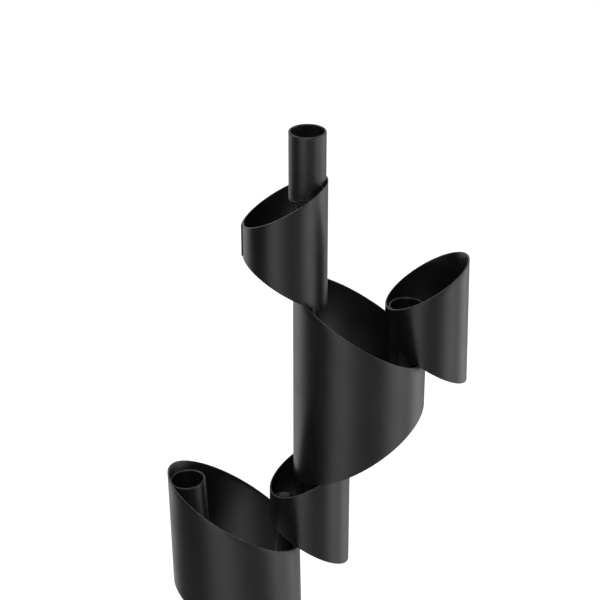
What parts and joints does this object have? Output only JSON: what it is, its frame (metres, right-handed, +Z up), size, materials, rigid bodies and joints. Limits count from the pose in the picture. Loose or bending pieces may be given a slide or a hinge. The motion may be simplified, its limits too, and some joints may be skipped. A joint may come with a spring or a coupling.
{
  "type": "candle_holder",
  "caption": "A tall spiral candle holder of slant-cut black steel rings stacked rim on rim around upright posts, with turned candle cups welded inside",
  "frame": {"origin": "on the table, at the middle of the base ring", "axes": "+X to the right and +Y away from someone who sees the holder as in the picture, +Z up"},
  "size_m": [0.2174, 0.1191, 0.4884],
  "materials": {
    "black_steel": "satin",
    "turned_black_steel": "satin",
    "weld_steel": "satin",
    "felt": "matt"
  },
  "bodies": {
    "root": {"base_ring": "black_steel", "lower_ring": "black_steel", "middle_ring": "black_steel", "upper_ring": "black_steel", "top_ring": "black_steel", "right_ring": "black_steel", "lower_post": "black_steel", "upper_post": "black_steel", "lower_post_plug": "black_steel", "upper_post_plug": "black_steel", "top_cup": "turned_black_steel", "right_cup": "turned_black_steel", "left_cup": "turned_black_steel", "top_cup_floor": "turned_black_steel", "right_cup_floor": "turned_black_steel", "left_cup_floor": "turned_black_steel", "base_plate": "black_steel", "felt_pad": "felt", "top_cup_welds": "weld_steel", "right_cup_welds": "weld_steel", "left_cup_welds": "weld_steel", "upper_post_welds": "weld_steel", "lower_post_welds": "weld_steel", "top_rim_welds": "weld_steel", "right_rim_welds": "weld_steel", "middle_rim_welds": "weld_steel", "lower_rim_welds": "weld_steel", "base_rim_welds": "weld_steel"}
  },
  "joints": []
}
